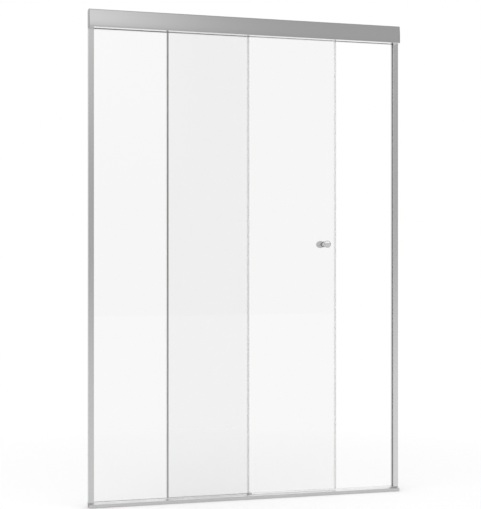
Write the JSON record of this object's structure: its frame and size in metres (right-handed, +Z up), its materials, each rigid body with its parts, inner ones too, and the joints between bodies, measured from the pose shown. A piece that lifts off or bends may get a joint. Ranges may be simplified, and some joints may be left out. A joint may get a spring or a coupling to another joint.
{
  "type": "sliding shower screen",
  "caption": "Wall-to-wall shower screen with a deep header, slim wall jambs, a low sill, a fixed clear glass panel and a sliding glass door with back-to-back knobs.",
  "frame": {"origin": "middle of the sill's underside along X; Y = 0 is midway between the two panes", "axes": "+Z up, +X along the screen towards the doorway side, -Y out to the bathroom, +Y to the shower"},
  "size_m": [1.2, 0.0996, 1.8],
  "materials": {
    "polished_aluminium": "bright polished, anodised",
    "cast_cap": "satin cast",
    "clear_glass": "clear toughened, polished edges",
    "clear_seal": "clear soft plastic",
    "grey_gasket": "matte grey",
    "clear_plastic": "translucent moulded",
    "white_nylon": "moulded",
    "chrome": "polished",
    "stainless_steel": "plain turned and pressed"
  },
  "bodies": {
    "frame": {"header_rail": "polished_aluminium", "header_fascia": "polished_aluminium", "header_end_cap_left": "cast_cap", "header_end_cap_right": "cast_cap", "end_cap_screws": "stainless_steel", "jamb_head_screws": "stainless_steel", "wall_jamb_left": "polished_aluminium", "wall_jamb_right": "polished_aluminium", "jamb_infill_left": "polished_aluminium", "jamb_infill_right": "polished_aluminium", "sill_rail": "polished_aluminium", "sill_end_plugs": "clear_plastic", "sill_infill_strip": "polished_aluminium", "header_infill_strip": "polished_aluminium", "jamb_foot_screws": "stainless_steel", "fixed_glass": "clear_glass", "fixed_gasket_jamb": "grey_gasket", "fixed_gasket_head": "grey_gasket", "fixed_gasket_sill": "grey_gasket", "fixed_setting_blocks": "clear_plastic", "fixed_edge_seal": "clear_seal", "guide_block": "clear_plastic", "guide_block_screws": "stainless_steel", "strike_seal": "grey_gasket", "track_stop_left": "polished_aluminium", "track_stop_right": "polished_aluminium", "track_stop_buffers": "grey_gasket", "track_stop_screws": "stainless_steel"},
    "door": {"door_glass": "clear_glass", "door_trailing_profile": "polished_aluminium", "door_overlap_seal": "clear_seal", "door_leading_seal": "clear_seal", "hanger_plate_left": "stainless_steel", "hanger_plate_right": "stainless_steel", "hanger_gasket_left": "grey_gasket", "hanger_gasket_right": "grey_gasket", "hanger_bushes": "white_nylon", "hanger_washers": "stainless_steel", "hanger_bolts": "stainless_steel", "hanger_nuts": "stainless_steel", "anti_jump_block_left": "white_nylon", "anti_jump_block_right": "white_nylon", "anti_jump_screws": "stainless_steel", "roller_axle_left": "stainless_steel", "roller_axle_right": "stainless_steel", "axle_spacers": "stainless_steel", "bearing_inner_ring_left": "stainless_steel", "bearing_inner_ring_right": "stainless_steel", "knob_outer": "chrome", "knob_inner": "chrome", "knob_stud": "stainless_steel", "knob_bush": "clear_plastic", "knob_gaskets": "grey_gasket"},
    "roller_left": {"roller_tyre_left": "white_nylon", "bearing_outer_ring_left": "stainless_steel", "bearing_balls_left": "stainless_steel"},
    "roller_right": {"roller_tyre_right": "white_nylon", "bearing_outer_ring_right": "stainless_steel", "bearing_balls_right": "stainless_steel"}
  },
  "joints": [
    {"name": "door_slide", "type": "slide", "parent": "frame", "child": "door", "axis": [1, 0, 0], "range_m": [-0.264, 0.24]},
    {"name": "roller_left_spin", "type": "hinge", "parent": "door", "child": "roller_left", "pos_m": [-0.22, -0.0174, 1.7646], "axis": [0, 1, 0], "continuous": true},
    {"name": "roller_right_spin", "type": "hinge", "parent": "door", "child": "roller_right", "pos_m": [0.256, -0.0174, 1.7646], "axis": [0, 1, 0], "continuous": true}
  ],
  "couplings": [
    {"joint": "roller_left_spin", "follows": "door_slide", "rad_per_m": 95.238},
    {"joint": "roller_right_spin", "follows": "door_slide", "rad_per_m": 95.238}
  ]
}
